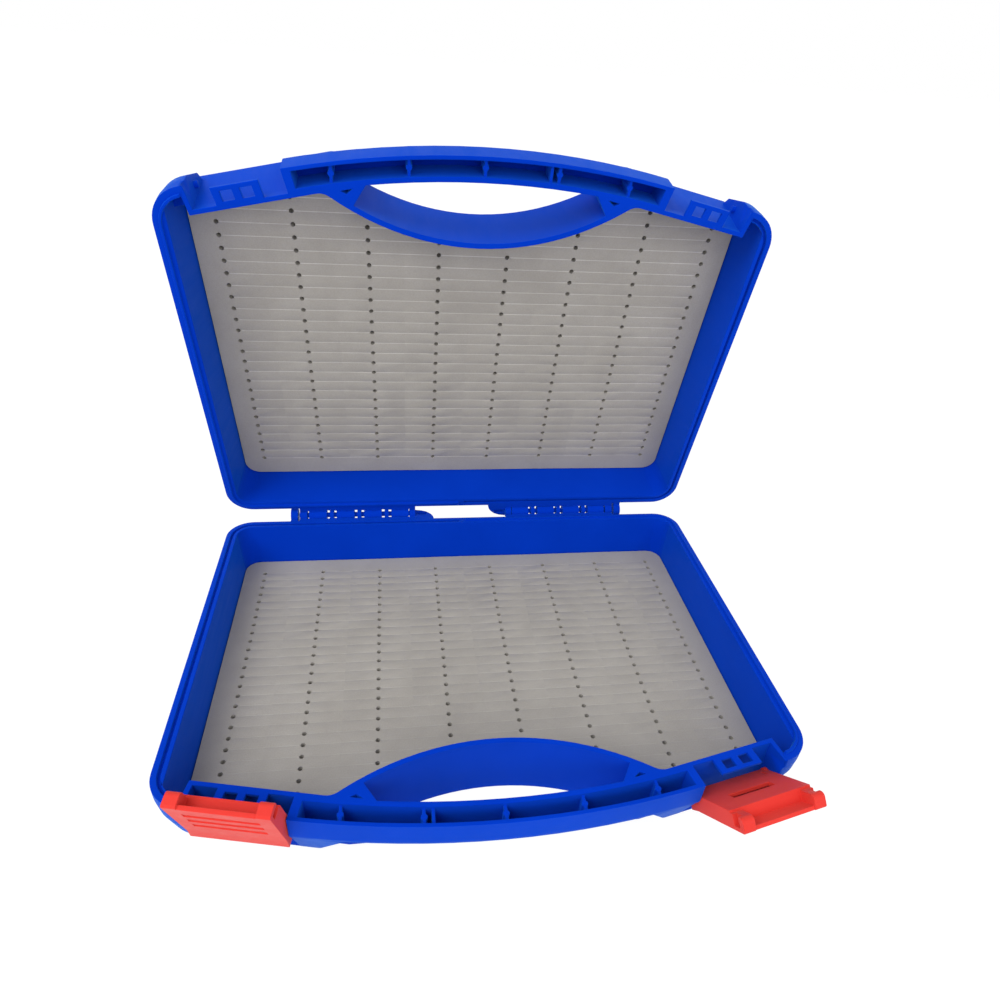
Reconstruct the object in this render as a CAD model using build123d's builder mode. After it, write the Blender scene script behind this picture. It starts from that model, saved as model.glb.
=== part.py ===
from build123d import *
from math import atan, cos, degrees, radians, sin, sqrt, tan
import os

# Fly box: a flat carrying case of two like plastic halves joined by a two part hinge.
# Each half holds a slit foam sheet, and two red latches stand on the lower half.
# All lengths are in millimetres. A half is drawn in its own frame: X along the hinge,
# Y from the hinge axis towards the handle, Z up out of the tray, zero at the parting plane.

# Case
half_width = 165.0
shell_depth = 37.0
hinge_to_rim = 7.0
rim_gap = 0.05
rim_width = 7.0
rim_height = 6.0
wall = 3.0
floor_thickness = 2.0
tray_draft = 2.5
back_corner_radius = 16.5
front_corner_radius = 20.0
foot_corner_radius = 6.0
floor_edge = 2.0
front_slope = 12.25
overrun = 2.0

# Latch recess, measured along the sloping front wall of the tray
recess_side_gap = 19.4
recess_reach = 231.7
recess_length = 48.1
recess_depth = 12.0
recess_land = 2.4
post_side_wall = 2.6
post_straight = 13.0
post_knee = 30.0
post_knee_share = 0.55
post_back = 196.0
corner_pocket_depth = 15.0
shelf_length = 24.0
shelf_reach = 8.7
shelf_thickness = 2.0
window_length = 6.2
window_width = 5.2
window_gap = 3.8
window_setback = 1.4
stud_radius = 1.7
stud_length = 2.1
stud_root = 1.0
stud_reach = 5.25
stud_depth = 18.25

# Handle
handle_front = 254.0
handle_radius = 475.0
handle_wall = 2.0
channel_width = 8.0
bar_back_wall = 2.8
handle_depth = 18.0
handle_edge_radius = 6.0
shoulder_length = 23.5
shoulder_depth = 16.0
shoulder_reach = 10.5
shoulder_lean = 12.0
foot_reach = 2.5
channel_floor = 2.5
channel_end_wall = 4.8
rib_count = 5
rib_thickness = 1.6
rib_setback = 1.5
rib_boss_radius = 1.6
plain_rib_place = 33.8
arch_radius = 137.0
arch_reach = 206.8
arch_wall = 2.9
arch_blend_radius = 8.0
opening_end_wall = 8.0
opening_lean = 6.5
web_wall = 1.6
web_pocket_depth = 8.0
web_pocket_length = 6.0
web_pocket_width = 2.8

# Rim seal: a groove on the right of each half, a tongue on the left
groove_setback = 3.0
groove_width = 1.8
groove_depth = 2.0
tongue_clearance = 0.2

# Hinge
knuckle_radius = 4.0
pin_radius = 1.8
pin_clearance = 0.05
short_knuckle_length = 2.9
knuckle_gap = 2.035
knuckle_count = 4
inner_block_start = 34.0
inner_block_length = 4.4
inner_block_gap = 0.4
outer_block_gap = 1.09
outer_block_side_gap = 53.0
outer_block_length = 5.3
ledge_reach = 4.35
ledge_thickness = 2.0
bracket_gap = 1.2
bracket_length = 4.9
bracket_radius = 5.5
ear_length = 13.5
ear_reach = 4.4
ear_thickness = 4.0
ear_pocket_length = 6.5
ear_pocket_width = 3.4
ear_pocket_depth = 2.2
hinge_pin_start = 35.5

# Foam
foam_thickness = 5.6
tape_thickness = 0.4
foam_clearance = 0.3
hole_radius = 1.35
hole_side_margin = 10.0
hole_rows = 27
column_pitch = 40.4
row_pitch = 7.5
first_row = 30.5
hole_edge_margin = 2.0

# Latches, measured from the stud that they turn on: outwards, and up when shut
latch_side_clearance = 0.35
latch_bore_clearance = 0.05
latch_inner = 1.8
latch_outer = 6.75
latch_lip = 0.9
latch_lip_height = 6.0
latch_foot = 1.75
latch_top = 40.5
latch_panel = 2.1
latch_plate = 2.0
latch_side_wall = 2.0
latch_plate_top = 32.5
latch_ear_radius = 2.8
tab_width = 6.5
tab_top = 41.75
tab_inner = 0.65
tab_round = 2.4
catch_width = 2.4
catch_clearance = 0.35
slot_clearance = 0.3
slot_swing = 0.3
slit_gap = 4.5
slit_start = 2.5
slit_width = 1.0
slit_length = 4.0
grip_count = 3
grip_pitch = 7.5
grip_width = 3.5
grip_depth = 0.6
grip_start = 16.75
grip_length = 34.0

# Pose and place
lid_open_angle = 77.5
left_latch_angle = 17.5
right_latch_angle = 50.0
base_centre = 118.0

# Values worked out from the sizes above
slope_tan = tan(radians(front_slope))
slope_cos = cos(radians(front_slope))
slope_sin = sin(radians(front_slope))
recess_start = half_width - recess_side_gap - recess_length
shoulder_start = recess_start - shoulder_length
opening_half_base = shoulder_start - opening_end_wall
opening_half_top = opening_half_base - opening_lean
tray_floor = -shell_depth + floor_thickness
bar_back = handle_wall + channel_width + bar_back_wall
handle_centre = handle_front - handle_radius
arch_centre = arch_reach + arch_radius
latch_width = recess_length - 2 * latch_side_clearance
catch_centre = 2 * stud_depth
panel_inner = latch_outer - latch_panel
tab_bottom = catch_centre + stud_radius + catch_clearance
side_top = catch_centre - stud_radius - catch_clearance
slot_bottom = stud_depth - shelf_thickness - slot_clearance
slot_top = stud_depth + shelf_thickness + slot_clearance + slot_swing


def front_y(x, reach=0):
    """Y of the sloping front line at x, moved outwards by reach."""
    return recess_reach + (recess_start - x) * slope_tan + reach / slope_cos


def handle_y(x, inset=0):
    """Y of the handle's front curve at x, moved inwards by inset."""
    return handle_centre + sqrt((handle_radius - inset) ** 2 - x**2)


recess_plane = Plane(
    origin=(recess_start, recess_reach, 0),
    x_dir=(slope_cos, -slope_sin, 0),
    z_dir=(0, 0, 1),
)
handle_end_x = recess_start + recess_depth * slope_sin


def rim_outline(inset):
    """Outer plan outline of a half, with the handle's curve in the middle, moved in by inset."""
    side = half_width - inset
    reach = recess_depth - inset
    start = (handle_end_x, handle_y(handle_end_x, inset))
    with BuildSketch(mode=Mode.PRIVATE) as outline:
        with BuildLine():
            Polyline(
                start,
                (side, front_y(side, reach)),
                (side, hinge_to_rim + inset),
                (-side, hinge_to_rim + inset),
                (-side, front_y(side, reach)),
                (-start[0], start[1]),
            )
            ThreePointArc((-start[0], start[1]), (0, handle_front - inset), start)
        make_face()
        corners = outline.vertices()
        back = corners.filter_by(lambda v: v.Y < hinge_to_rim + inset + overrun)
        fillet(back, back_corner_radius - inset)
        sides = outline.vertices().filter_by(
            lambda v: abs(v.X) > side - overrun and v.Y > front_y(side, reach) - overrun
        )
        fillet(sides, front_corner_radius - inset)
    return outline.sketch


def tray_outline(side, back, reach, back_radius, front_radius):
    """Plan outline of the tray itself, straight across behind the handle."""
    with BuildSketch(mode=Mode.PRIVATE) as outline:
        with BuildLine():
            Polyline(
                (side, back),
                (side, front_y(side, reach)),
                (shoulder_start, front_y(shoulder_start, reach)),
                (-shoulder_start, front_y(shoulder_start, reach)),
                (-side, front_y(side, reach)),
                (-side, back),
                close=True,
            )
        make_face()
        fillet(outline.vertices().filter_by(lambda v: v.Y < back + overrun), back_radius)
        sides = outline.vertices().filter_by(
            lambda v: abs(v.X) > side - overrun and v.Y > back + back_radius + overrun
        )
        fillet(sides, front_radius)
    return outline.sketch


def pocket_outline(side, back, inset):
    """Plan outline of the tray's hollow, with the arch round the finger opening."""
    reach = -recess_land - inset
    with BuildSketch(mode=Mode.PRIVATE) as outline:
        with BuildLine():
            Polyline(
                (side, back),
                (side, front_y(side, reach)),
                (0, front_y(0, reach)),
                (-side, front_y(side, reach)),
                (-side, back),
                close=True,
            )
        make_face()
        with Locations((0, arch_centre)):
            Circle(arch_radius + inset, mode=Mode.SUBTRACT)
        fillet(
            outline.vertices().filter_by(lambda v: v.Y < back + overrun),
            back_corner_radius - rim_width,
        )
        blends = outline.vertices().filter_by(
            lambda v: overrun < abs(v.X) < recess_start and v.Y > arch_reach
        )
        fillet(blends, arch_blend_radius)
    return outline.sketch


def handle_band(front_inset, back_inset, end_x):
    """Plan of a curved band that follows the handle, between two insets from its front."""
    back_end = (end_x - (back_inset - front_inset) * slope_sin, handle_y(end_x, back_inset))
    with BuildSketch(mode=Mode.PRIVATE) as band:
        with BuildLine():
            front_end = (end_x, handle_y(end_x, front_inset))
            ThreePointArc(
                (-end_x, front_end[1]), (0, handle_front - front_inset), front_end
            )
            Line(front_end, back_end)
            ThreePointArc(
                back_end, (0, handle_front - back_inset), (-back_end[0], back_end[1])
            )
            Line((-back_end[0], back_end[1]), (-end_x, front_end[1]))
        make_face()
    return band.sketch


def opening_outline():
    """Plan of the finger opening: the arch, two slanting ends and the back of the handle."""
    arch = arch_radius - arch_wall
    low_y = arch_centre - sqrt(arch**2 - opening_half_base**2)
    top_y = handle_y(opening_half_top, bar_back)
    with BuildSketch(mode=Mode.PRIVATE) as opening:
        with BuildLine():
            ThreePointArc(
                (-opening_half_base, low_y), (0, arch_centre - arch), (opening_half_base, low_y)
            )
            Line((opening_half_base, low_y), (opening_half_top, top_y))
            ThreePointArc(
                (opening_half_top, top_y), (0, handle_front - bar_back), (-opening_half_top, top_y)
            )
            Line((-opening_half_top, top_y), (-opening_half_base, low_y))
        make_face()
    return opening.sketch


def post_zone(start, reach):
    """Plan of the corner post beside the recess, from start along the front wall."""
    with BuildSketch(mode=Mode.PRIVATE) as zone:
        with BuildSketch(recess_plane, mode=Mode.PRIVATE) as far_side:
            with Locations((start, -half_width)):
                Rectangle(half_width, 2 * half_width, align=(Align.MIN, Align.MIN))
        add(far_side.sketch)
        with Locations((0, post_back)):
            Rectangle(
                half_width + reach, half_width, align=(Align.MIN, Align.MIN), mode=Mode.INTERSECT
            )
    return zone.sketch


# Corner post, a wedge that stands out from the tray beside the recess
foot_side = half_width - rim_width + wall - tray_draft
edge_depth = shell_depth - floor_edge
post_levels = (rim_height, post_straight, post_knee, edge_depth, shell_depth)
post_reaches = (recess_depth, recess_depth, recess_depth * post_knee_share, 0, -floor_edge)
post_sides = (
    half_width,
    half_width - tray_draft / 2,
    half_width - tray_draft,
    foot_side,
    foot_side - floor_edge,
)
post_radii = (
    front_corner_radius,
    front_corner_radius,
    front_corner_radius,
    foot_corner_radius,
    foot_corner_radius - floor_edge,
)
with BuildPart() as post:
    for level in range(len(post_levels) - 1):
        for end in (level, level + 1):
            with BuildSketch(Plane.XY.offset(-post_levels[end])):
                add(
                    tray_outline(
                        post_sides[end],
                        post_back - back_corner_radius,
                        post_reaches[end],
                        wall,
                        post_radii[end],
                    )
                )
        loft(ruled=True)
    with BuildSketch(Plane.XY.offset(-shell_depth - overrun)):
        add(post_zone(recess_length, 0))
    extrude(amount=shell_depth + 2 * overrun, mode=Mode.INTERSECT)

# Handle grip below the rim, deeper at its two shoulders
with BuildPart() as grip:
    with BuildSketch(Plane.XY.offset(-rim_gap)):
        add(handle_band(0, bar_back, handle_end_x))
    extrude(amount=-(handle_depth - rim_gap))
    front_edges = grip.edges().filter_by(
        lambda e: e.center().Z < -handle_depth + rim_gap and e.length > handle_end_x
    )
    fillet(front_edges.sort_by(Axis.Y)[-1], handle_edge_radius)

# Wedge under each end of the handle, which carries the near stud of the latch
shoulder_levels = (rim_height, shoulder_depth, shell_depth)
shoulder_reaches = (shoulder_reach, shoulder_reach, foot_reach)
shoulder_ends = (shoulder_start, shoulder_start, shoulder_start + shoulder_lean)
with BuildPart() as shoulder:
    for level in range(len(shoulder_levels) - 1):
        for end in (level, level + 1):
            near_x = shoulder_ends[end]
            reach = shoulder_reaches[end]
            with BuildSketch(Plane.XY.offset(-shoulder_levels[end])):
                with BuildLine():
                    Polyline(
                        (near_x, front_y(near_x, -recess_land)),
                        (near_x, front_y(near_x, reach)),
                        (handle_end_x, front_y(handle_end_x, reach)),
                        (handle_end_x, front_y(handle_end_x, -recess_land)),
                        close=True,
                    )
                make_face()
        loft(ruled=True)
    foot_corner = shoulder.edges().filter_by(
        lambda e: e.center().X < shoulder_start + shoulder_lean
        and e.center().Z < -shoulder_depth
        and e.center().Y > front_y(shoulder_start, 0)
    )
    fillet(foot_corner, foot_reach)


# One half of the case
with BuildPart() as half:
    # Tray below the rim, with a slanted edge round its floor
    brow_side = half_width - rim_width + wall
    brow_back = hinge_to_rim + rim_width - wall
    brow_radius = back_corner_radius - rim_width + wall
    tray_levels = (rim_height - rim_gap, edge_depth, shell_depth)
    tray_insets = (0, tray_draft, tray_draft + floor_edge)
    tray_reaches = (0, 0, -floor_edge)
    tray_radii = (foot_corner_radius, foot_corner_radius, foot_corner_radius - floor_edge)
    for level in range(len(tray_levels) - 1):
        for end in (level, level + 1):
            with BuildSketch(Plane.XY.offset(-tray_levels[end])):
                add(
                    tray_outline(
                        brow_side - tray_insets[end],
                        brow_back + tray_insets[end],
                        tray_reaches[end],
                        brow_radius - tray_insets[end],
                        tray_radii[end],
                    )
                )
        loft(ruled=True)

    # Rim flange, with the top of the posts and the handle
    with BuildSketch(Plane.XY.offset(-rim_gap)):
        add(rim_outline(0))
    extrude(amount=-(rim_height - rim_gap))
    add(post.part)
    add(mirror(post.part, about=Plane.YZ))
    add(grip.part)
    add(shoulder.part)
    add(mirror(shoulder.part, about=Plane.YZ))

    # Latch recesses
    with BuildSketch(recess_plane.offset(overrun)) as recess:
        Rectangle(recess_length, 2 * recess_depth, align=(Align.MIN, Align.MIN))
    extrude(amount=-(shell_depth + 2 * overrun), mode=Mode.SUBTRACT)
    with BuildSketch(Plane.XY.offset(overrun)):
        add(mirror(recess.sketch, about=Plane.YZ).moved(Location((0, 0, -overrun))))
    extrude(amount=-(shell_depth + 2 * overrun), mode=Mode.SUBTRACT)

    # The front wall leans out to a foot along the bottom of each recess
    with BuildPart(mode=Mode.PRIVATE) as leaning_wall:
        for depth, reach in ((rim_height, 0), (shell_depth, foot_reach)):
            with BuildSketch(recess_plane.offset(-depth)):
                with Locations((-recess_land, -recess_land)):
                    Rectangle(
                        recess_length + 2 * recess_land,
                        reach + recess_land,
                        align=(Align.MIN, Align.MIN),
                    )
        loft(ruled=True)
    add(leaning_wall.part)
    add(mirror(leaning_wall.part, about=Plane.YZ))

    # Tray hollow, its corner pockets and the finger opening
    with BuildSketch(Plane.XY):
        add(pocket_outline(half_width - rim_width, hinge_to_rim + rim_width, 0))
    with BuildSketch(Plane.XY.offset(tray_floor)):
        add(
            pocket_outline(
                half_width - rim_width - tray_draft, hinge_to_rim + rim_width + tray_draft, 0
            )
        )
    loft(ruled=True, mode=Mode.SUBTRACT)
    pocket_draft = tray_draft * corner_pocket_depth / (shell_depth - floor_thickness)
    with BuildPart(mode=Mode.PRIVATE) as corner_pocket:
        for depth, draft in ((0, 0), (corner_pocket_depth, pocket_draft)):
            with BuildSketch(Plane.XY.offset(-depth)):
                add(rim_outline(rim_width - overrun))
                add(post_zone(recess_length + post_side_wall, 0), mode=Mode.INTERSECT)
                Rectangle(
                    2 * (half_width - rim_width - draft), 4 * half_width, mode=Mode.INTERSECT
                )
        loft(ruled=True)
    for pocket in (corner_pocket.part, mirror(corner_pocket.part, about=Plane.YZ)):
        add(pocket, mode=Mode.SUBTRACT)
    with BuildSketch(Plane.XY.offset(overrun)):
        add(opening_outline())
    extrude(amount=-(shell_depth + 2 * overrun), mode=Mode.SUBTRACT)

    # Channel in the handle, crossed by ribs
    channel_end = handle_end_x - channel_end_wall
    rib_pitch = 2 * channel_end / rib_count
    with BuildSketch(Plane.XY):
        add(handle_band(handle_wall, handle_wall + channel_width, channel_end))
    extrude(amount=-rib_setback, mode=Mode.SUBTRACT)
    with BuildSketch(Plane.XY.offset(-rib_setback)):
        add(handle_band(handle_wall, handle_wall + channel_width, channel_end))
        channel_middle = handle_wall + channel_width / 2
        for place in range(rib_count):
            x = (place - (rib_count - 1) / 2) * rib_pitch
            with Locations((x, handle_y(x, channel_middle))):
                Rectangle(rib_thickness, 2 * channel_width, mode=Mode.SUBTRACT)
                Circle(rib_boss_radius, mode=Mode.SUBTRACT)
        with Locations((plain_rib_place, handle_y(plain_rib_place, channel_middle))):
            Rectangle(rib_thickness, 2 * channel_width, mode=Mode.SUBTRACT)
    extrude(amount=-(handle_depth - channel_floor - rib_setback), mode=Mode.SUBTRACT)

    # Three sided pocket beside each end of the opening
    web_x = opening_half_base + web_wall
    web_y = handle_y(web_x, bar_back + web_wall / 2)
    with BuildSketch(Plane.XY):
        with BuildLine():
            Polyline(
                (web_x - web_wall, web_y),
                (web_x - web_wall + web_pocket_length, web_y - web_pocket_length * slope_tan),
                (web_x + web_wall, web_y - web_pocket_width),
                close=True,
            )
        make_face()
        mirror(about=Plane.YZ)
    extrude(amount=-web_pocket_depth, mode=Mode.SUBTRACT)

    # Catch shelf in each recess, with two windows
    with BuildSketch(recess_plane.offset(-rim_gap)) as shelf:
        with Locations((recess_length / 2, -recess_land / 2)):
            Rectangle(
                shelf_length, shelf_reach + recess_land / 2, align=(Align.CENTER, Align.MIN)
            )
        window_x = (window_gap + window_length) / 2
        window_y = window_setback + window_width / 2
        with Locations(
            (recess_length / 2 - window_x, window_y), (recess_length / 2 + window_x, window_y)
        ):
            Rectangle(window_length, window_width, mode=Mode.SUBTRACT)
    extrude(amount=-(shelf_thickness - rim_gap))
    with BuildSketch(Plane.XY.offset(-rim_gap)):
        add(mirror(shelf.sketch, about=Plane.YZ).moved(Location((0, 0, rim_gap))))
    extrude(amount=-(shelf_thickness - rim_gap))

    # Studs on the side walls of each recess: a latch turns on them or catches them
    stud_plane = Plane(
        origin=recess_plane.from_local_coords((-stud_root, stud_reach, -stud_depth)),
        x_dir=recess_plane.y_dir,
        z_dir=recess_plane.x_dir,
    )
    stud_run = stud_root + stud_length
    far_plane = stud_plane.offset(recess_length + 2 * stud_root)
    for face_plane, run in ((stud_plane, stud_run), (far_plane, -stud_run)):
        with BuildSketch(face_plane):
            Circle(stud_radius)
        stud = extrude(amount=run)
        add(mirror(stud, about=Plane.YZ))

    # Seal groove on the right of the rim and its tongue on the left
    with BuildSketch(mode=Mode.PRIVATE) as seal_zone:
        with Locations((overrun, 0)):
            Rectangle(
                half_width, front_y(half_width, -rim_width), align=(Align.MIN, Align.MIN)
            )
        add(post_zone(recess_length + post_side_wall, 0))
    with BuildSketch(Plane.XY):
        add(rim_outline(groove_setback))
        add(rim_outline(groove_setback + groove_width), mode=Mode.SUBTRACT)
        add(seal_zone.sketch, mode=Mode.INTERSECT)
    extrude(amount=-groove_depth, mode=Mode.SUBTRACT)
    with BuildSketch(Plane.XY.offset(-rim_gap)) as tongue:
        add(rim_outline(groove_setback + tongue_clearance))
        add(rim_outline(groove_setback + groove_width - tongue_clearance), mode=Mode.SUBTRACT)
        add(seal_zone.sketch, mode=Mode.INTERSECT)
        mirror(about=Plane.YZ)
        with Locations((-tongue_clearance, 0)):
            Rectangle(2 * half_width, 4 * half_width, align=(Align.MAX, Align.CENTER), mode=Mode.INTERSECT)
    extrude(amount=groove_depth - 2 * tongue_clearance)

    # Hinge: long knuckles on the left, short ones between two blocks on the right
    outer_block_start = half_width - outer_block_side_gap
    first_knuckle = inner_block_start + inner_block_length + inner_block_gap
    knuckle_run = outer_block_start - outer_block_gap - first_knuckle
    between = short_knuckle_length + 2 * knuckle_gap
    long_knuckle_length = (knuckle_run - (knuckle_count - 1) * between) / knuckle_count
    knuckle_pitch = long_knuckle_length + between
    knuckles = []
    for place in range(knuckle_count):
        end = first_knuckle + place * knuckle_pitch + long_knuckle_length
        knuckles.append((-end, long_knuckle_length))
    for place in range(knuckle_count - 1):
        start = first_knuckle + place * knuckle_pitch + long_knuckle_length + knuckle_gap
        knuckles.append((start, short_knuckle_length))
    knuckles.append((inner_block_start, inner_block_length))
    knuckles.append((outer_block_start, outer_block_length))
    for start, length in knuckles:
        with BuildSketch(Plane.YZ.offset(start)):
            Circle(knuckle_radius)
            Rectangle(hinge_to_rim + overrun, knuckle_radius, align=(Align.MIN, Align.MAX))
        extrude(amount=length)

    # Ledge along each hinge, between the rim and the knuckles of the other half
    with BuildSketch(Plane.XY.offset(-ledge_thickness)):
        with Locations((inner_block_start, ledge_reach)):
            Rectangle(
                outer_block_start + outer_block_length - inner_block_start,
                hinge_to_rim + overrun - ledge_reach,
                align=(Align.MIN, Align.MIN),
            )
        mirror(about=Plane.YZ)
    extrude(amount=ledge_thickness - rim_gap)

    # Bracket outside the outer block, a larger barrel that the pin doesn't enter
    bracket_start = outer_block_start + outer_block_length + bracket_gap
    with BuildSketch(Plane.YZ.offset(bracket_start)):
        Circle(bracket_radius)
        Rectangle(hinge_to_rim + overrun, bracket_radius, align=(Align.MIN, Align.MAX))
    extrude(amount=bracket_length)

    # Rounded ear beside the inner block, with a small pocket
    ear_end = inner_block_start - ear_length
    with BuildSketch(Plane.XY.offset(-ear_thickness)):
        with BuildLine():
            Polyline(
                (ear_end, hinge_to_rim),
                (ear_end, hinge_to_rim + overrun),
                (inner_block_start, hinge_to_rim + overrun),
                (inner_block_start, -ear_reach),
            )
            EllipticalCenterArc(
                (inner_block_start, hinge_to_rim),
                ear_length,
                hinge_to_rim + ear_reach,
                start_angle=180,
                arc_size=90,
            )
        make_face()
    extrude(amount=ear_thickness - rim_gap)
    with BuildSketch(Plane.XY):
        with Locations((inner_block_start - ear_pocket_length / 2 - wall / 2, 0)):
            Rectangle(ear_pocket_length, ear_pocket_width)
    extrude(amount=-ear_pocket_depth, mode=Mode.SUBTRACT)

    # Bore for the hinge pin, blind in the inner block
    with BuildSketch(Plane.YZ.offset(hinge_pin_start - pin_clearance)) as hinge_bore:
        Circle(pin_radius + pin_clearance)
    extrude(
        amount=outer_block_start + outer_block_length + bracket_gap / 2 - hinge_pin_start,
        mode=Mode.SUBTRACT,
    )
    with BuildSketch(Plane.YZ.offset(-outer_block_start)):
        Circle(pin_radius + pin_clearance)
    extrude(amount=outer_block_start - inner_block_start, mode=Mode.SUBTRACT)

# Foam sheet and the tape below it, in the frame of a half
foam_side = half_width - rim_width - tray_draft - foam_clearance
foam_back = hinge_to_rim + rim_width + tray_draft + foam_clearance
hole_columns = 2 * int((foam_side - hole_side_margin) / column_pitch + 0.5)


def hole_places():
    """Hole centres in their columns and rows, kept clear of the foam's front edge."""
    places = []
    for column in range(hole_columns):
        x = (column - (hole_columns - 1) / 2) * column_pitch
        for row in range(hole_rows):
            y = first_row + row * row_pitch
            arch_y = arch_centre - sqrt(max(arch_radius**2 - x**2, 0))
            limit = front_y(abs(x), -recess_land)
            if abs(x) < shoulder_start:
                limit = min(limit, arch_y)
            if y + hole_radius + hole_edge_margin < limit:
                places.append((x, y))
    return places


with BuildPart() as foam:
    with BuildSketch(Plane.XY.offset(tray_floor + tape_thickness)):
        add(pocket_outline(foam_side, foam_back, foam_clearance))
        with Locations(*hole_places()):
            Circle(hole_radius, mode=Mode.SUBTRACT)
    extrude(amount=foam_thickness)

with BuildPart() as tape:
    with BuildSketch(Plane.XY.offset(tray_floor)):
        add(pocket_outline(foam_side, foam_back, foam_clearance))
    extrude(amount=tape_thickness)

# Hinge pin of the right hinge of a half
with BuildPart() as hinge_pin:
    with BuildSketch(Plane.YZ.offset(hinge_pin_start)):
        Circle(pin_radius)
    extrude(amount=outer_block_start + outer_block_length - hinge_pin_start)

# Latch, drawn shut, with its stud at the origin, Y outwards and Z up
with BuildPart() as latch:
    with BuildSketch(Plane.YZ.offset(-latch_width / 2)):
        with BuildLine():
            Polyline(
                (-latch_inner, -latch_foot),
                (latch_outer + latch_lip, -latch_foot),
                (latch_outer, latch_lip_height - latch_foot),
                (latch_outer, latch_top),
                (-latch_inner, latch_top),
                close=True,
            )
        make_face()
    extrude(amount=latch_width)

    # Mouth between the two tabs, and the set back of the tabs
    with BuildSketch(Plane.XY.offset(latch_plate_top)):
        with Locations((0, panel_inner)):
            Rectangle(
                latch_width - 2 * tab_width,
                2 * latch_outer,
                align=(Align.CENTER, Align.MAX),
            )
        with Locations((0, -tab_inner)):
            Rectangle(latch_width, latch_outer, align=(Align.CENTER, Align.MAX))
    extrude(amount=latch_top, mode=Mode.SUBTRACT)

    # Tabs stand a little above the panel and are rounded over
    for side in (-1, 1):
        tab_start = side * latch_width / 2
        with BuildSketch(Plane.YZ.offset(tab_start)):
            with Locations((-tab_inner, latch_plate_top)):
                Rectangle(
                    tab_inner + latch_outer,
                    tab_top - latch_plate_top,
                    align=(Align.MIN, Align.MIN),
                )
        extrude(amount=-side * tab_width)
    tab_edges = latch.edges().filter_by(Axis.X).group_by(Axis.Z)[-1]
    fillet(tab_edges.group_by(Axis.Y)[0], tab_round)
    fillet(latch.edges().filter_by(Axis.X).group_by(Axis.Z)[-1].group_by(Axis.Y)[-1], tab_round / 2)

    # Hollow between the plate and the panel, open at the foot
    with BuildSketch(Plane.XY.offset(-latch_foot)):
        with Locations((0, panel_inner)):
            Rectangle(
                latch_width - 2 * latch_side_wall,
                panel_inner + latch_inner - latch_plate,
                align=(Align.CENTER, Align.MAX),
            )
    extrude(amount=latch_foot + latch_plate_top - latch_plate, mode=Mode.SUBTRACT)

    # Slot in the plate for the two catch shelves
    with BuildSketch(Plane.XY.offset(slot_bottom)):
        with Locations((0, latch_plate - latch_inner)):
            Rectangle(
                shelf_length + 2 * latch_side_clearance,
                2 * latch_plate,
                align=(Align.CENTER, Align.MAX),
            )
    extrude(amount=slot_top - slot_bottom, mode=Mode.SUBTRACT)

    # Narrow slit beside the foot of the plate
    with BuildSketch(Plane.XZ.offset(latch_inner + overrun)):
        with Locations((slit_gap - latch_width / 2, slit_start)):
            Rectangle(slit_width, slit_length, align=(Align.CENTER, Align.MIN))
    extrude(amount=-(overrun + latch_plate), mode=Mode.SUBTRACT)

    # Notch at each side that takes the stud of the lid
    for side in (-1, 1):
        with BuildSketch(Plane.YZ.offset(side * latch_width / 2)):
            with Locations((panel_inner, side_top)):
                Rectangle(2 * latch_outer, tab_bottom - side_top, align=(Align.MAX, Align.MIN))
        extrude(amount=-side * catch_width, mode=Mode.SUBTRACT)

    # Rounded ear with the bore for the stud of the base
    for side in (-1, 1):
        with BuildSketch(Plane.YZ.offset(side * latch_width / 2)):
            Circle(latch_ear_radius)
        extrude(amount=-side * latch_side_wall)
        with BuildSketch(Plane.YZ.offset(side * latch_width / 2)):
            Circle(stud_radius + latch_bore_clearance)
        extrude(amount=-side * latch_side_wall, mode=Mode.SUBTRACT)

    # Grip grooves across the outer face
    with BuildSketch(Plane.YZ.offset(-grip_length / 2)):
        for place in range(grip_count):
            with Locations((latch_outer, grip_start + place * grip_pitch)):
                Rectangle(2 * grip_depth, grip_width)
    extrude(amount=grip_length, mode=Mode.SUBTRACT)

# Places: the lower half lies open upwards, the lid turns about the hinge axis
base_place = Location((0, base_centre, shell_depth), (0, 0, 180))
lid_place = Location((0, base_centre, shell_depth), (180 - lid_open_angle, 0, 0))


def latch_place(side, angle):
    """Place of a latch on the lower half: side 1 or -1 along X of that half, turned out by angle."""
    pivot = recess_plane.from_local_coords(
        (recess_length / 2, stud_reach, -stud_depth)
    )
    seat = Location((side * pivot.X, pivot.Y, pivot.Z), (0, 0, -side * front_slope))
    return base_place * seat * Location((0, 0, 0), (-angle, 0, 0))


os.makedirs("parts", exist_ok=True)

with BuildPart() as base_shell:
    add(half.part.moved(base_place))
with BuildPart() as lid_shell:
    add(half.part.moved(lid_place))
with BuildPart() as base_foam:
    add(foam.part.moved(base_place))
with BuildPart() as lid_foam:
    add(foam.part.moved(lid_place))
with BuildPart() as base_foam_tape:
    add(tape.part.moved(base_place))
with BuildPart() as lid_foam_tape:
    add(tape.part.moved(lid_place))
with BuildPart() as left_hinge_pin:
    add(hinge_pin.part.moved(base_place))
with BuildPart() as right_hinge_pin:
    add(hinge_pin.part.moved(lid_place))
with BuildPart() as left_latch:
    add(latch.part.moved(latch_place(1, left_latch_angle)))
with BuildPart() as right_latch:
    add(latch.part.moved(latch_place(-1, right_latch_angle)))

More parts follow.
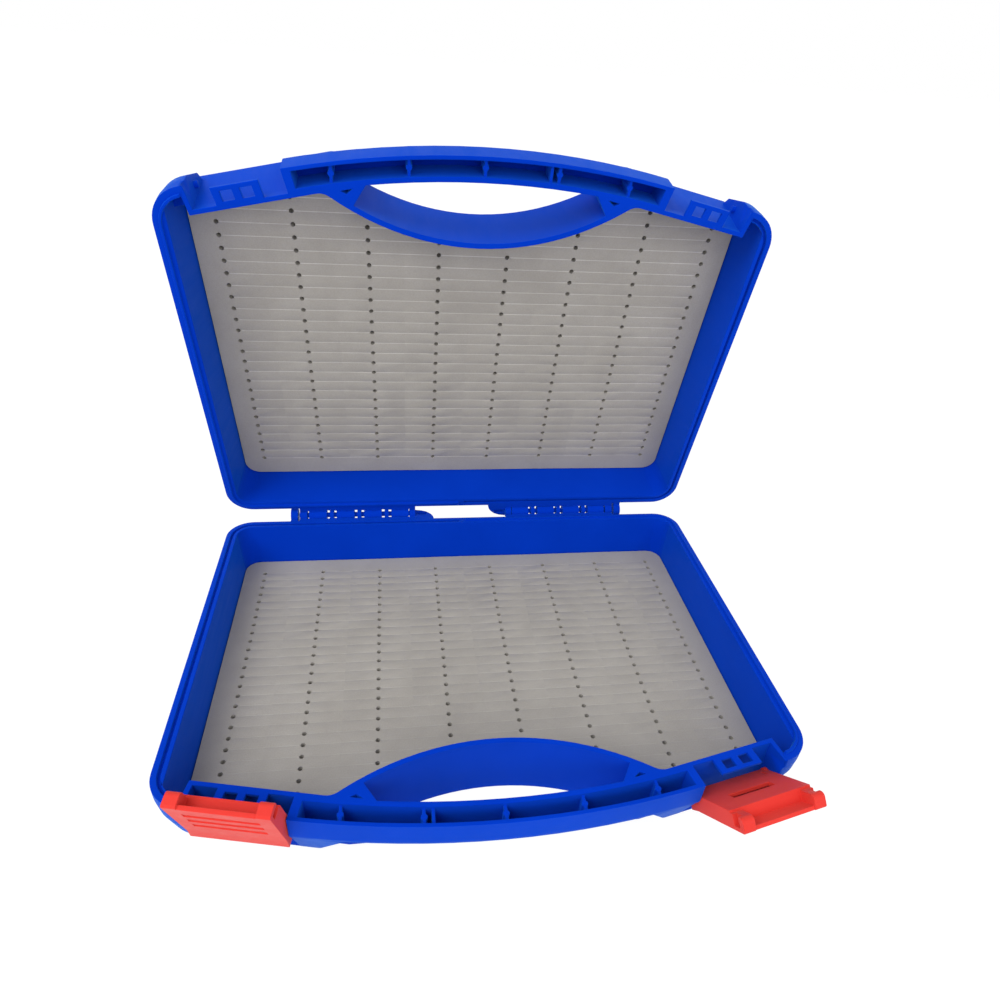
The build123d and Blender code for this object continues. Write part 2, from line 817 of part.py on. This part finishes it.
base_shell.part.label = "base_shell"
export_step(base_shell.part, "parts/base_shell.step")
lid_shell.part.label = "lid_shell"
export_step(lid_shell.part, "parts/lid_shell.step")
base_foam.part.label = "base_foam"
export_step(base_foam.part, "parts/base_foam.step")
lid_foam.part.label = "lid_foam"
export_step(lid_foam.part, "parts/lid_foam.step")
base_foam_tape.part.label = "base_foam_tape"
export_step(base_foam_tape.part, "parts/base_foam_tape.step")
lid_foam_tape.part.label = "lid_foam_tape"
export_step(lid_foam_tape.part, "parts/lid_foam_tape.step")
left_hinge_pin.part.label = "left_hinge_pin"
export_step(left_hinge_pin.part, "parts/left_hinge_pin.step")
right_hinge_pin.part.label = "right_hinge_pin"
export_step(right_hinge_pin.part, "parts/right_hinge_pin.step")
left_latch.part.label = "left_latch"
export_step(left_latch.part, "parts/left_latch.step")
right_latch.part.label = "right_latch"
export_step(right_latch.part, "parts/right_latch.step")
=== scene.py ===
from math import cos, radians, sin

import bmesh
import bpy
from mathutils import Matrix, Vector
from mathutils.bvhtree import BVHTree


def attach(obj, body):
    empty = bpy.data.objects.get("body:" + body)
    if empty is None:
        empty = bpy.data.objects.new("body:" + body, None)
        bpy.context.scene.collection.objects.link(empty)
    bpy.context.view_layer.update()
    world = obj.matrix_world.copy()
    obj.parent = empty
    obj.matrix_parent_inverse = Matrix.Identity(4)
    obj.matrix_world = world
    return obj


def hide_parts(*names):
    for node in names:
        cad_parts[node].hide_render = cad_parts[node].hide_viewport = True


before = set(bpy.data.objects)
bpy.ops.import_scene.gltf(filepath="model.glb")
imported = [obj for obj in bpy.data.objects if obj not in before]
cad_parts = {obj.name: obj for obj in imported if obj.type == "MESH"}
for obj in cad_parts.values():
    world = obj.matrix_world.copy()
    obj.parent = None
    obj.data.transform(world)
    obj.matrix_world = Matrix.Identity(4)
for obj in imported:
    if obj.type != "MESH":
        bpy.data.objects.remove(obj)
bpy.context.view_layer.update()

MM = 0.001

# Places of the two halves: each is drawn with the hinge along X at the origin,
# the handle towards Y and the open side up, as the lower half lies before it is turned round.
HINGE = Vector((0, 0.118, 0.037))
LID_OPEN = 77.5
base_place = Matrix.Translation(HINGE) @ Matrix.Rotation(radians(180), 4, "Z")
lid_place = Matrix.Translation(HINGE) @ Matrix.Rotation(radians(180 - LID_OPEN), 4, "X")

# Sizes that repeat those of the case, in millimetres and degrees
FRONT_SLOPE = 12.25
RECESS_START = (97.5, 231.7)
RECESS_LENGTH = 48.1
STUD_REACH = 5.25
STUD_DEPTH = 18.25
LATCH_OUT = {"left_latch": 17.5, "right_latch": 50.0}
FOAM_TOP = -29.0
FIRST_ROW = 30.5
ROW_PITCH = 7.5
ROWS = 27
COLUMN_PITCH = 40.4
COLUMNS = 8
HOLE_RADIUS = 1.35

# Softening of the moulded edges, in millimetres and degrees
SHELL_ROUNDING = 0.3
LATCH_ROUNDING = 0.25
SHARP_ANGLE = 50
SMOOTH_ANGLE = 30
MERGE_DISTANCE = 0.01
SHORT_EDGE = 6.0
SHORT_EDGE_TRIES = 2
ALL_TRIES = 4

# A corner strays when it leaves the surface by this share of the rounding, and the edge that
# causes it lies within these shares of how far it strayed and of the rounding
STRAY_SHARE = 0.6
STRAY_REACH = 1.2
ROUNDING_REACH = 2

# Slits in the foam, with the lips that stand along them, in millimetres; the lips are painted
# paler as a highlight
SLIT_HALF = 0.05
LIP_HALF = 0.26
SLIT_DEPTH = 0.12
LIP_RISE = 0.06
SLIT_END = (COLUMNS - 1) / 2 * COLUMN_PITCH

# Slow waves of the foam's surface: height in millimetres, turns in radians
WAVE_HEIGHT = 0.12
WAVE_TURN = (0.052, 0.047)
WAVE_START = (1.3, 0.4)

# Margins for telling the parts of the foam's mesh apart, in millimetres
HOLE_MARGIN = 0.1
SLIT_END_MARGIN = 0.3
SURFACE_MARGIN = 0.01
FOAM_SMOOTH_ANGLE = 25

# Floor and world
FLOOR_SIZE = 30
FLOOR_DROP = 0.0002
FLOOR_WHITE_SHARE = 0.86
FLOOR_GLOW = 1.09
WORLD_LEVEL = 0.72


# Small helpers for modelling


def nothing_selected():
    if bpy.context.object and bpy.context.object.mode != "OBJECT":
        bpy.ops.object.mode_set(mode="OBJECT")
    bpy.ops.object.select_all(action="DESELECT")


def work_on(piece):
    nothing_selected()
    piece.select_set(True)
    bpy.context.view_layer.objects.active = piece


def copy_of_node(node, name, unplace):
    """A merged copy of a node's mesh, brought back to where it is drawn."""
    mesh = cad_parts[node].data.copy()
    piece = bpy.data.objects.new(name, mesh)
    bpy.context.scene.collection.objects.link(piece)
    mesh.materials.clear()
    mesh.transform(unplace)
    work_on(piece)
    bpy.ops.object.mode_set(mode="EDIT")
    bpy.ops.mesh.select_all(action="SELECT")
    bpy.ops.mesh.remove_doubles(threshold=MERGE_DISTANCE * MM)
    bpy.ops.object.mode_set(mode="OBJECT")
    return piece


def placed_copy(piece, name, place):
    twin = bpy.data.objects.new(name, piece.data.copy())
    bpy.context.scene.collection.objects.link(twin)
    twin.data.transform(place)
    return twin


def bevelled(piece, width, segments):
    """The mesh that rounding the weighted edges gives, with nothing changed on the piece."""
    bevel = piece.modifiers.new("Rounded edges", "BEVEL")
    bevel.width = width
    bevel.segments = segments
    bevel.limit_method = "WEIGHT"
    bevel.use_clamp_overlap = False
    bevel.loop_slide = False
    graph = bpy.context.evaluated_depsgraph_get()
    mesh = bpy.data.meshes.new_from_object(piece.evaluated_get(graph))
    piece.modifiers.remove(bevel)
    return mesh


def strays_of(mesh, surface, width):
    """Vertices that left the surface, each with how far its cause may lie."""
    strays = []
    for vertex in mesh.vertices:
        off = surface.find_nearest(vertex.co)[3]
        if off > width * STRAY_SHARE:
            reach = off * STRAY_REACH + width * ROUNDING_REACH
            strays.append((vertex.co.copy(), reach))
    return strays


def soften_edges(piece, width, segments=2):
    """Round the sharp edges, except those where the rounding would leave the surface."""
    work_on(piece)
    form = bmesh.new()
    form.from_mesh(piece.data)
    surface = BVHTree.FromBMesh(form)
    weight = form.edges.layers.float.new("bevel_weight_edge")
    for edge in form.edges:
        if len(edge.link_faces) == 2 and edge.calc_face_angle() > radians(SHARP_ANGLE):
            edge[weight] = 1
    for attempt in range(ALL_TRIES):
        form.to_mesh(piece.data)
        rounded = bevelled(piece, width, segments)
        strays = strays_of(rounded, surface, width)
        if not strays:
            break
        for edge in form.edges:
            long = attempt < SHORT_EDGE_TRIES and edge.calc_length() >= SHORT_EDGE * MM
            if not edge[weight] or long:
                continue
            for stray, reach in strays:
                if min((end.co - stray).length for end in edge.verts) < reach:
                    edge[weight] = 0
                    break
    form.free()
    piece.data = rounded


def smooth_by_angle(piece, angle):
    work_on(piece)
    bpy.ops.object.shade_smooth_by_angle(angle=radians(angle))


def keep_flats_flat(piece):
    """Normals that follow the large faces, so that flat walls show no shading fans."""
    work_on(piece)
    weighted = piece.modifiers.new("Flat walls", "WEIGHTED_NORMAL")
    weighted.keep_sharp = True
    weighted.weight = 100
    bpy.ops.object.modifier_apply(modifier=weighted.name)


def removed(piece):
    bpy.data.objects.remove(piece, do_unlink=True)


# Materials


def new_material(name):
    material = bpy.data.materials.new(name)
    material.use_nodes = True
    nodes = material.node_tree.nodes
    links = material.node_tree.links
    return material, nodes, links, nodes["Principled BSDF"]


def object_noise(nodes, links, scale, detail=4.0, roughness=0.5, stretch=(1, 1, 1)):
    where = nodes.new("ShaderNodeTexCoord")
    mapping = nodes.new("ShaderNodeMapping")
    mapping.inputs["Scale"].default_value = stretch
    noise = nodes.new("ShaderNodeTexNoise")
    noise.inputs["Scale"].default_value = scale
    noise.inputs["Detail"].default_value = detail
    noise.inputs["Roughness"].default_value = roughness
    links.new(where.outputs["Object"], mapping.inputs["Vector"])
    links.new(mapping.outputs["Vector"], noise.inputs["Vector"])
    return noise.outputs["Fac"]


def ramp(nodes, links, source, low=0.0, high=1.0):
    spread = nodes.new("ShaderNodeMapRange")
    spread.inputs["From Min"].default_value = 0.3
    spread.inputs["From Max"].default_value = 0.7
    spread.inputs["To Min"].default_value = low
    spread.inputs["To Max"].default_value = high
    links.new(source, spread.inputs["Value"])
    return spread.outputs["Result"]


def two_colours(nodes, links, source, first, second):
    """A colour that goes from the first to the second with a noise."""
    mix = nodes.new("ShaderNodeMix")
    mix.data_type = "RGBA"
    mix.inputs["A"].default_value = (*first, 1)
    mix.inputs["B"].default_value = (*second, 1)
    links.new(ramp(nodes, links, source), mix.inputs["Factor"])
    return mix.outputs["Result"]


def moulded_plastic(name, colour, cloud, gloss, shine, tint, haze, scatter=0.0):
    """Smooth injection moulded plastic with faint clouds, flow marks and rub marks."""
    material, nodes, links, shader = new_material(name)
    clouds = object_noise(nodes, links, 22, 3)
    links.new(two_colours(nodes, links, clouds, colour, cloud), shader.inputs["Base Color"])
    rub = object_noise(nodes, links, 160, 6, 0.65, (1, 0.12, 1))
    links.new(ramp(nodes, links, rub, *gloss), shader.inputs["Roughness"])
    grain = object_noise(nodes, links, 2600, 2, 0.6)
    flow = object_noise(nodes, links, 45, 2, 0.4)
    fine = nodes.new("ShaderNodeBump")
    fine.inputs["Strength"].default_value = 0.12
    fine.inputs["Distance"].default_value = 0.00006
    wide = nodes.new("ShaderNodeBump")
    wide.inputs["Strength"].default_value = 0.25
    wide.inputs["Distance"].default_value = 0.0004
    links.new(grain, fine.inputs["Height"])
    links.new(flow, wide.inputs["Height"])
    links.new(fine.outputs["Normal"], wide.inputs["Normal"])
    links.new(wide.outputs["Normal"], shader.inputs["Normal"])
    shader.inputs["IOR"].default_value = 1.25
    shader.inputs["Specular IOR Level"].default_value = shine
    shader.inputs["Specular Tint"].default_value = (*tint, 1)
    shader.inputs["Sheen Weight"].default_value = haze
    shader.inputs["Sheen Tint"].default_value = (*tint, 1)
    shader.inputs["Sheen Roughness"].default_value = 0.5
    shader.inputs["Subsurface Weight"].default_value = scatter
    shader.inputs["Subsurface Radius"].default_value = (0.002, 0.002, 0.004)
    shader.inputs["Subsurface Scale"].default_value = 0.4
    return material


def closed_cell_foam(name, dull, pale, haze=0.15, shine=0.5):
    """Grey closed cell foam: fine cells, faint mottling and a dull surface."""
    material, nodes, links, shader = new_material(name)
    mottle = object_noise(nodes, links, 38, 5, 0.6)
    speck = object_noise(nodes, links, 1400, 2, 0.7)
    speckled = nodes.new("ShaderNodeMix")
    speckled.data_type = "RGBA"
    speckled.blend_type = "MULTIPLY"
    speckled.inputs["Factor"].default_value = 1.0
    links.new(two_colours(nodes, links, mottle, dull, pale), speckled.inputs["A"])
    links.new(
        two_colours(nodes, links, speck, (0.88, 0.88, 0.88), (1, 1, 1)), speckled.inputs["B"]
    )
    links.new(speckled.outputs["Result"], shader.inputs["Base Color"])
    shader.inputs["Roughness"].default_value = 0.82
    shader.inputs["Specular IOR Level"].default_value = shine
    shader.inputs["Sheen Weight"].default_value = haze
    shader.inputs["Sheen Roughness"].default_value = 0.6
    where = nodes.new("ShaderNodeTexCoord")
    cells = nodes.new("ShaderNodeTexVoronoi")
    cells.inputs["Scale"].default_value = 1900
    links.new(where.outputs["Object"], cells.inputs["Vector"])
    bump = nodes.new("ShaderNodeBump")
    bump.inputs["Strength"].default_value = 0.35
    bump.inputs["Distance"].default_value = 0.00012
    links.new(cells.outputs["Distance"], bump.inputs["Height"])
    links.new(bump.outputs["Normal"], shader.inputs["Normal"])
    return material


def adhesive_tape(name, dark, pale):
    """A thin dark layer with fibres along it."""
    material, nodes, links, shader = new_material(name)
    fibre = object_noise(nodes, links, 700, 5, 0.7, (1, 6, 1))
    links.new(two_colours(nodes, links, fibre, dark, pale), shader.inputs["Base Color"])
    shader.inputs["Roughness"].default_value = 0.6
    shader.inputs["Specular IOR Level"].default_value = 0.1
    return material


blue_shine = (0.04, 0.42, 1.0)
red_shine = (1.0, 0.6, 0.55)
case_blue = moulded_plastic(
    "Blue case plastic", (0.0005, 0.031, 0.46), (0.0008, 0.036, 0.51),
    gloss=(0.40, 0.52), shine=0.1, tint=blue_shine, haze=0.3,
)
# The pins get a darker copy of the case blue, painted as the shade between the hinge knuckles.
pin_blue_painted_shade = moulded_plastic(
    "Blue pin plastic with painted shade", (0.0005, 0.028, 0.43), (0.0008, 0.032, 0.47),
    gloss=(0.38, 0.50), shine=0.1, tint=blue_shine, haze=0.3,
)
latch_red = moulded_plastic(
    "Red latch plastic", (0.67, 0.036, 0.028), (0.73, 0.046, 0.035),
    gloss=(0.36, 0.48), shine=0.3, tint=red_shine, haze=0.1, scatter=0.1,
)
foam_grey = closed_cell_foam("Grey foam", (0.340, 0.318, 0.284), (0.385, 0.362, 0.326))
# The slit lips are painted paler than the foam as a highlight, much paler on the lid than on the
# base, by how light falls on each half.
base_slit_painted_highlight = closed_cell_foam(
    "Foam of the base slits with painted highlight", (0.345, 0.323, 0.290), (0.45, 0.427, 0.39)
)
lid_slit_painted_highlight = closed_cell_foam(
    "Foam of the lid slits with stronger painted highlight", (0.46, 0.437, 0.40), (0.62, 0.597, 0.56)
)
# The walls of the holes are painted near black as the shade that falls inside them.
hole_painted_shade = closed_cell_foam(
    "Foam of the holes with painted shade", (0.008, 0.007, 0.006), (0.014, 0.012, 0.010), haze=0.0, shine=0.05
)
# The tape is dark, and is darkened further as painted shade where it shows at the bottom of the
# holes.
tape_dark_and_painted_shade = adhesive_tape("Dark adhesive tape with painted shade", (0.008, 0.008, 0.009), (0.018, 0.017, 0.019))


# The two halves of the case, with softened moulded edges


half = copy_of_node("base_shell", "Half of the case", base_place.inverted())
soften_edges(half, SHELL_ROUNDING * MM)
for node, body, place in (("base_shell", "base", base_place), ("lid_shell", "lid", lid_place)):
    shell = placed_copy(half, node.capitalize(), place)
    shell.data.materials.append(case_blue)
    smooth_by_angle(shell, SMOOTH_ANGLE)
    keep_flats_flat(shell)
    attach(shell, body)
    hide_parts(node)
removed(half)


# The latches


def latch_place(side, angle):
    """Where a latch stands: side 1 is the left one, -1 the right one."""
    along = Vector((cos(radians(FRONT_SLOPE)), -sin(radians(FRONT_SLOPE)), 0))
    out = Vector((sin(radians(FRONT_SLOPE)), cos(radians(FRONT_SLOPE)), 0))
    stud = Vector((*RECESS_START, -STUD_DEPTH)) + along * RECESS_LENGTH / 2 + out * STUD_REACH
    stud.x *= side
    return (
        base_place
        @ Matrix.Translation(stud * MM)
        @ Matrix.Rotation(radians(-side * FRONT_SLOPE), 4, "Z")
        @ Matrix.Rotation(radians(-angle), 4, "X")
    )


left_place = latch_place(1, LATCH_OUT["left_latch"])
right_place = latch_place(-1, LATCH_OUT["right_latch"])
one_latch = copy_of_node("left_latch", "One latch", left_place.inverted())
soften_edges(one_latch, LATCH_ROUNDING * MM)
for node, place in (("left_latch", left_place), ("right_latch", right_place)):
    latch = placed_copy(one_latch, node.capitalize(), place)
    latch.data.materials.append(latch_red)
    smooth_by_angle(latch, SMOOTH_ANGLE)
    keep_flats_flat(latch)
    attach(latch, node)
    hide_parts(node)
removed(one_latch)


# Foam sheets, slit from hole to hole across each row


rows = [FIRST_ROW + place * ROW_PITCH for place in range(ROWS)]


def off_row(y):
    return min(abs(y - row) for row in rows)


def off_column(x):
    return abs((x / COLUMN_PITCH + 0.5) % 1 - 0.5) * COLUMN_PITCH


def cut_across(piece, along_y, along_x):
    """Straight cuts through the whole sheet, so that its surface can be shaped between them."""
    work_on(piece)
    bpy.ops.object.mode_set(mode="EDIT")
    for y in along_y:
        bpy.ops.mesh.select_all(action="SELECT")
        bpy.ops.mesh.bisect(plane_co=(0, y * MM, 0), plane_no=(0, 1, 0))
    for x in along_x:
        bpy.ops.mesh.select_all(action="SELECT")
        bpy.ops.mesh.bisect(plane_co=(x * MM, 0, 0), plane_no=(1, 0, 0))
    bpy.ops.object.mode_set(mode="OBJECT")


def cut_slits(sheet):
    """Edges along each slit and its lips, at the slits' ends, and every half column."""
    steps = (-LIP_HALF, -SLIT_HALF, 0, SLIT_HALF, LIP_HALF)
    end = SLIT_END + SLIT_END_MARGIN
    half_columns = [place * COLUMN_PITCH / 2 for place in range(2 - COLUMNS, COLUMNS - 1)]
    cut_across(sheet, [row + step for row in rows for step in steps], [-end, end, *half_columns])


def paint_slit_highlight_and_hole_shade(sheet):
    """The second material, a painted highlight, goes on the slits and lips, the third, a painted
    shade, on the walls of the holes.
    """
    for face in sheet.data.polygons:
        x, y, z = (value / MM for value in face.center)
        if abs(x) > SLIT_END + HOLE_RADIUS + 2 * HOLE_MARGIN:
            continue
        # Top faces along the slits get the painted highlight, walls round the holes the painted
        # shade.
        if abs(face.normal.z) > 0.5:
            if z > FOAM_TOP - HOLE_MARGIN and off_row(y) < LIP_HALF and abs(x) < SLIT_END:
                face.material_index = 1
        elif max(off_row(y), off_column(x)) < HOLE_RADIUS + HOLE_MARGIN:
            face.material_index = 2


def shape_surface(sheet):
    """Slow waves over the top, with the slits sunk and their lips raised."""
    for vertex in sheet.data.vertices:
        x, y, z = (value / MM for value in vertex.co)
        if z < FOAM_TOP - SURFACE_MARGIN:
            continue
        wave = sin(x * WAVE_TURN[0] + WAVE_START[0]) * sin(y * WAVE_TURN[1] + WAVE_START[1])
        rise = WAVE_HEIGHT * wave - WAVE_HEIGHT
        if abs(x) < SLIT_END + 2 * SLIT_END_MARGIN:
            if off_row(y) < SLIT_HALF / 2:
                rise -= SLIT_DEPTH
            elif off_row(y) < SLIT_HALF * 1.5:
                rise += LIP_RISE
        vertex.co.z += rise * MM


foam = copy_of_node("base_foam", "Foam", base_place.inverted())
cut_slits(foam)
# Slots: the foam, the slit lips with painted highlight, and the hole walls with painted shade.
for finish in (foam_grey, lid_slit_painted_highlight, hole_painted_shade):
    foam.data.materials.append(finish)
paint_slit_highlight_and_hole_shade(foam)
shape_surface(foam)
for node, body, place, slit in (
    ("base_foam", "base", base_place, base_slit_painted_highlight),
    ("lid_foam", "lid", lid_place, lid_slit_painted_highlight),
):
    sheet = placed_copy(foam, node.capitalize(), place)
    # The slit lips take the painted highlight of their own half, paler on the lid.
    sheet.data.materials[1] = slit
    smooth_by_angle(sheet, FOAM_SMOOTH_ANGLE)
    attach(sheet, body)
    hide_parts(node)
removed(foam)


# Pins and tape keep their own shapes and get better finishes, the pins a blue darkened as
# painted shade


for node, finish in (
    ("left_hinge_pin", pin_blue_painted_shade),
    ("right_hinge_pin", pin_blue_painted_shade),
    ("base_foam_tape", tape_dark_and_painted_shade),
    ("lid_foam_tape", tape_dark_and_painted_shade),
):
    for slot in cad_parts[node].material_slots:
        slot.material = finish


# Floor, lights and camera


def seen_directly(nodes, links):
    """1 for rays that come from the camera, a gloss or a glass, and 0 for diffuse light."""
    rays = nodes.new("ShaderNodeLightPath")
    seen = rays.outputs["Is Camera Ray"]
    for kind in ("Is Glossy Ray", "Is Transmission Ray"):
        either = nodes.new("ShaderNodeMath")
        either.operation = "MAXIMUM"
        links.new(seen, either.inputs[0])
        links.new(rays.outputs[kind], either.inputs[1])
        seen = either.outputs["Value"]
    return seen


def white_for_camera(name, share, strength):
    """A pale surface that the camera sees as nearly white, and that still takes the shadow."""
    material = bpy.data.materials.new(name)
    material.use_nodes = True
    nodes = material.node_tree.nodes
    links = material.node_tree.links
    nodes.clear()
    out = nodes.new("ShaderNodeOutputMaterial")
    pale = nodes.new("ShaderNodeBsdfDiffuse")
    pale.inputs["Color"].default_value = (0.9, 0.9, 0.9, 1)
    glow = nodes.new("ShaderNodeEmission")
    glow.inputs["Color"].default_value = (1, 1, 1, 1)
    glow.inputs["Strength"].default_value = strength
    amount = nodes.new("ShaderNodeMath")
    amount.operation = "MULTIPLY"
    amount.inputs[1].default_value = share
    mix = nodes.new("ShaderNodeMixShader")
    links.new(seen_directly(nodes, links), amount.inputs[0])
    links.new(amount.outputs["Value"], mix.inputs["Fac"])
    links.new(pale.outputs["BSDF"], mix.inputs[1])
    links.new(glow.outputs["Emission"], mix.inputs[2])
    links.new(mix.outputs["Shader"], out.inputs["Surface"])
    return material


nothing_selected()
bpy.ops.mesh.primitive_plane_add(size=FLOOR_SIZE, location=(0, 0, -FLOOR_DROP))
floor = bpy.context.object
floor.name = "Floor"
floor.data.materials.append(white_for_camera("Pale floor", FLOOR_WHITE_SHARE, FLOOR_GLOW))

world = bpy.data.worlds.new("Studio")
bpy.context.scene.world = world
world.use_nodes = True
sky = world.node_tree.nodes
sky_links = world.node_tree.links
backdrop = sky["Background"]
level = sky.new("ShaderNodeMapRange")
level.inputs["To Min"].default_value = WORLD_LEVEL
level.inputs["To Max"].default_value = 1.0
backdrop.inputs["Color"].default_value = (1, 1, 1, 1)
sky_links.new(seen_directly(sky, sky_links), level.inputs["Value"])
sky_links.new(level.outputs["Result"], backdrop.inputs["Strength"])


def soft_light(name, place, aim, size, power):
    lamp = bpy.data.lights.new(name, "AREA")
    lamp.shape = "RECTANGLE"
    lamp.size, lamp.size_y = size
    lamp.energy = power
    holder = bpy.data.objects.new(name, lamp)
    bpy.context.scene.collection.objects.link(holder)
    holder.location = place
    holder.rotation_euler = (Vector(aim) - Vector(place)).to_track_quat("-Z", "Y").to_euler()


soft_light("Main light", place=(-1.1, -0.7, 1.5), aim=(0, 0, 0.05), size=(1.2, 1.2), power=19)
soft_light("Front light", place=(0.3, -1.6, 0.9), aim=(0, 0, 0.1), size=(1.6, 0.8), power=10)

# The camera of the photo, solved from the grid of holes in both foam sheets
lens = bpy.data.cameras.new("Camera")
lens.sensor_width = 36
lens.lens = 25.025
lens.shift_x = 0.0006
lens.shift_y = 0.0158
lens.clip_start = 0.01
camera = bpy.data.objects.new("Camera", lens)
bpy.context.scene.collection.objects.link(camera)
camera.matrix_world = Matrix((
    (0.98905, 0.02093, -0.14615, -0.04774),
    (-0.13232, 0.56472, -0.81461, -0.31544),
    (0.06548, 0.82502, 0.56130, 0.33154),
    (0, 0, 0, 1),
))
bpy.context.scene.camera = camera
bpy.context.scene.view_settings.view_transform = "Standard"
